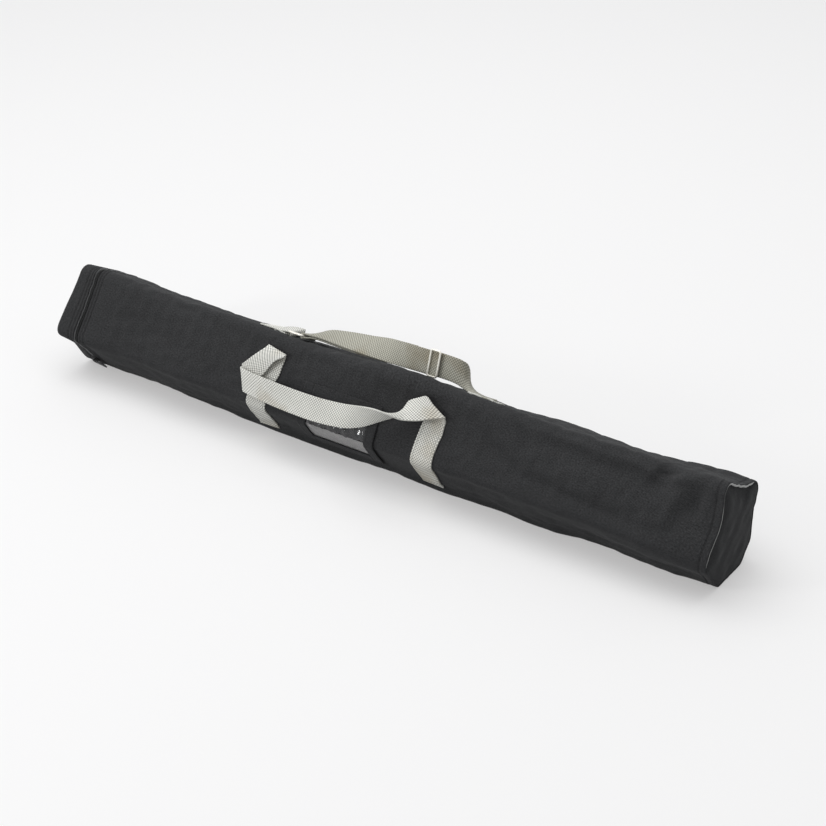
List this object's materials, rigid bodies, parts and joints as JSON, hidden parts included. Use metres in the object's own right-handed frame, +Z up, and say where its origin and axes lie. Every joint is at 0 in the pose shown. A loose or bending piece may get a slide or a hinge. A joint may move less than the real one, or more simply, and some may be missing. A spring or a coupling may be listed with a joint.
{
  "type": "boom pole in carry bag",
  "caption": "Long padded carry bag with a zipped end lid, webbing handle, shoulder strap and label pocket, holding a closed telescopic boom pole.",
  "frame": {"origin": "centre of the box of the lying bag, on the floor", "axes": "+X along the bag from the zipped lid to the fixed end, +Y to the rear, +Z up from the floor"},
  "size_m": [0.958, 0.1292, 0.1681],
  "materials": {
    "shell_fabric": "matt woven nylon",
    "padding": "closed-cell foam",
    "stiff_board": "plain fibre board",
    "piping": "satin vinyl piping",
    "webbing": "coarse woven polypropylene",
    "zip_nylon": "nylon coil and tape",
    "nickel": "nickel-plated steel wire",
    "clear_film": "clear crinkled vinyl",
    "card": "plain grey card",
    "carbon_tube": "satin carbon fibre",
    "collar_alloy": "black anodised, knurled",
    "collet_nylon": "moulded nylon",
    "grip_foam": "foam rubber grip",
    "cap_rubber": "moulded rubber",
    "stud_brass": "turned brass"
  },
  "bodies": {
    "bag": {"bag_shell": "shell_fabric", "foam_liner": "padding", "end_panel": "shell_fabric", "end_board": "stiff_board", "end_piping": "piping", "zip_coil_body": "zip_nylon", "zip_tape_body": "zip_nylon", "hinge_strip_body": "shell_fabric", "handle_leg_left": "webbing", "handle_leg_right": "webbing", "id_pocket_panel": "shell_fabric", "id_window": "clear_film", "strap_patch_left": "webbing", "strap_patch_right": "webbing", "pole_outer_tube": "carbon_tube", "pole_grip": "grip_foam", "pole_butt_cap": "cap_rubber", "lock_collet_1": "collet_nylon"},
    "lid": {"lid_panel": "shell_fabric", "lid_band": "shell_fabric", "lid_board": "stiff_board", "zip_coil_lid": "zip_nylon", "zip_tape_lid": "zip_nylon", "hinge_strip_lid": "shell_fabric"},
    "zip_slider": {"zip_slider": "nickel"},
    "zip_pull": {"zip_pull": "nickel"},
    "handle": {"handle_loop": "webbing"},
    "strap": {"strap_web": "webbing"},
    "ring": {"strap_ring": "nickel"},
    "glide": {"strap_glide": "nickel"},
    "card": {"id_card": "card"},
    "collar_1": {"lock_collar_1": "collar_alloy"},
    "pole_middle": {"pole_middle_tube": "carbon_tube", "lock_collet_2": "collet_nylon"},
    "collar_2": {"lock_collar_2": "collar_alloy"},
    "pole_inner": {"pole_inner_tube": "carbon_tube", "pole_tip_stud": "stud_brass"}
  },
  "joints": [
    {"name": "lid_hinge", "type": "hinge", "parent": "bag", "child": "lid", "pos_m": [-0.449, 0.06557, 0.06], "axis": [0, 0, -1], "range_deg": [0, 110]},
    {"name": "zip_run", "type": "slide", "parent": "bag", "child": "zip_slider", "axis": [0, -0.6111, 0.7916], "range_m": [-0.008, 0.018]},
    {"name": "zip_pull_flip", "type": "hinge", "parent": "zip_slider", "child": "zip_pull", "pos_m": [-0.449, -0.03576, 0.01613], "axis": [0, 0.6111, -0.7916], "range_deg": [-5, 150]},
    {"name": "handle_swing", "type": "hinge", "parent": "bag", "child": "handle", "pos_m": [0, -0.02929, 0.12738], "axis": [-1, 0, 0], "range_deg": [0, 150]},
    {"name": "strap_swing", "type": "hinge", "parent": "bag", "child": "strap", "pos_m": [0, 0.0126, 0.13204], "axis": [1, 0, 0], "range_deg": [-100, 35]},
    {"name": "glide_run", "type": "slide", "parent": "strap", "child": "glide", "axis": [1, 0, 0], "range_m": [-0.15, 0.035]},
    {"name": "ring_flip", "type": "hinge", "parent": "bag", "child": "ring", "pos_m": [-0.1395, 0.01485, 0.12904], "axis": [0, -0.866, 0.5], "range_deg": [0, 60]},
    {"name": "card_run", "type": "slide", "parent": "bag", "child": "card", "axis": [1, 0, 0], "range_m": [0, 0.055]},
    {"name": "collar_1_twist", "type": "hinge", "parent": "bag", "child": "collar_1", "pos_m": [-0.266, 0.01262, 0.0261], "axis": [1, 0, 0], "range_deg": [0, 90]},
    {"name": "middle_run", "type": "slide", "parent": "bag", "child": "pole_middle", "axis": [-1, 0, 0], "range_m": [0, 0.034]},
    {"name": "collar_2_twist", "type": "hinge", "parent": "pole_middle", "child": "collar_2", "pos_m": [-0.312, 0.01262, 0.0261], "axis": [1, 0, 0], "range_deg": [0, 90]},
    {"name": "inner_run", "type": "slide", "parent": "pole_middle", "child": "pole_inner", "axis": [-1, 0, 0], "range_m": [0, 0.034]}
  ]
}
